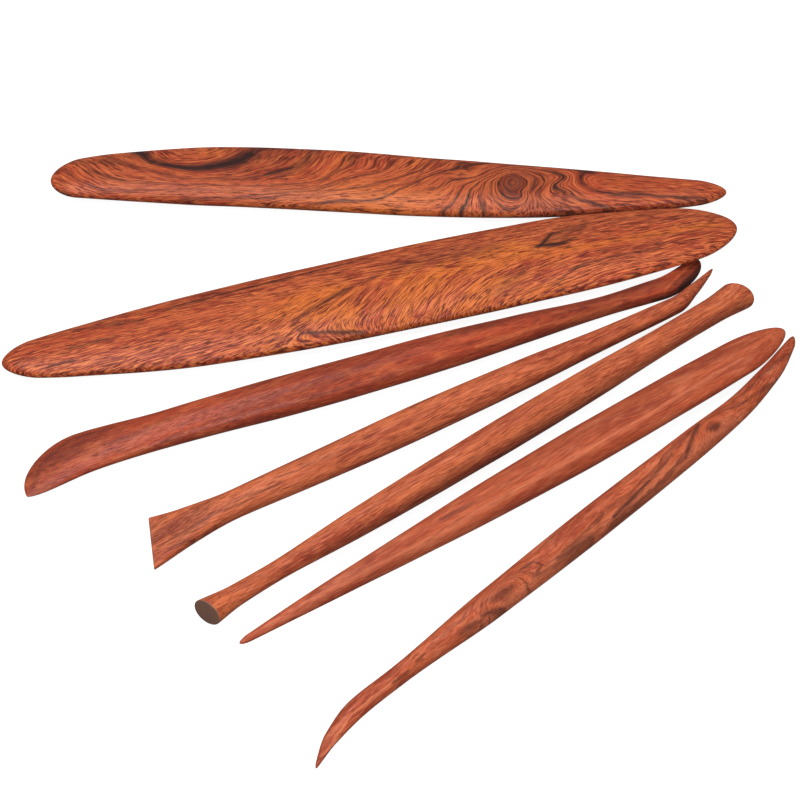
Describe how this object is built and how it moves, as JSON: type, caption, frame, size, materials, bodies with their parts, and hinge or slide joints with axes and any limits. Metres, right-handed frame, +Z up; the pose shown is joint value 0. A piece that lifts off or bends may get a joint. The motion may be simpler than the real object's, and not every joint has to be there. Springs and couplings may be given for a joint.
{
  "type": "clay modelling tool set",
  "caption": "Fan of loose double-ended wooden clay modelling tools: broad flat paddles and slim sticks with bevelled, pointed, hooked, leaf-shaped and round stamping ends.",
  "frame": {"origin": "on the table top, under the middle of the whole fan's bounding box", "axes": "+X roughly along the narrow paddle, +Y from the open end of the fan towards the narrow paddle, +Z up from the table top"},
  "size_m": [0.2896, 0.3182, 0.0132],
  "materials": {
    "orange_rosewood": "satin oiled",
    "red_rosewood": "satin oiled",
    "brown_rosewood": "satin oiled"
  },
  "bodies": {
    "narrow_paddle": {"narrow_paddle": "orange_rosewood"},
    "wide_paddle": {"wide_paddle": "orange_rosewood"},
    "curved_spatula_knife": {"curved_spatula_knife": "red_rosewood"},
    "skew_chisel_knife": {"skew_chisel_knife": "orange_rosewood"},
    "round_stamp_tool": {"round_stamp_tool": "brown_rosewood"},
    "leaf_point_tool": {"leaf_point_tool": "brown_rosewood"},
    "hooked_knife": {"hooked_knife": "brown_rosewood"}
  },
  "joints": [
    {"name": "narrow_paddle_lift", "type": "slide", "parent": "curved_spatula_knife", "child": "narrow_paddle", "axis": [0, 0, 1], "range_m": [0, 0.06]},
    {"name": "wide_paddle_lift", "type": "slide", "parent": "curved_spatula_knife", "child": "wide_paddle", "axis": [0, 0, 1], "range_m": [0, 0.06]},
    {"name": "skew_chisel_knife_lift", "type": "slide", "parent": "curved_spatula_knife", "child": "skew_chisel_knife", "axis": [0, 0, 1], "range_m": [0, 0.06]},
    {"name": "round_stamp_tool_lift", "type": "slide", "parent": "curved_spatula_knife", "child": "round_stamp_tool", "axis": [0, 0, 1], "range_m": [0, 0.06]},
    {"name": "leaf_point_tool_lift", "type": "slide", "parent": "curved_spatula_knife", "child": "leaf_point_tool", "axis": [0, 0, 1], "range_m": [0, 0.06]},
    {"name": "hooked_knife_lift", "type": "slide", "parent": "curved_spatula_knife", "child": "hooked_knife", "axis": [0, 0, 1], "range_m": [0, 0.06]}
  ]
}
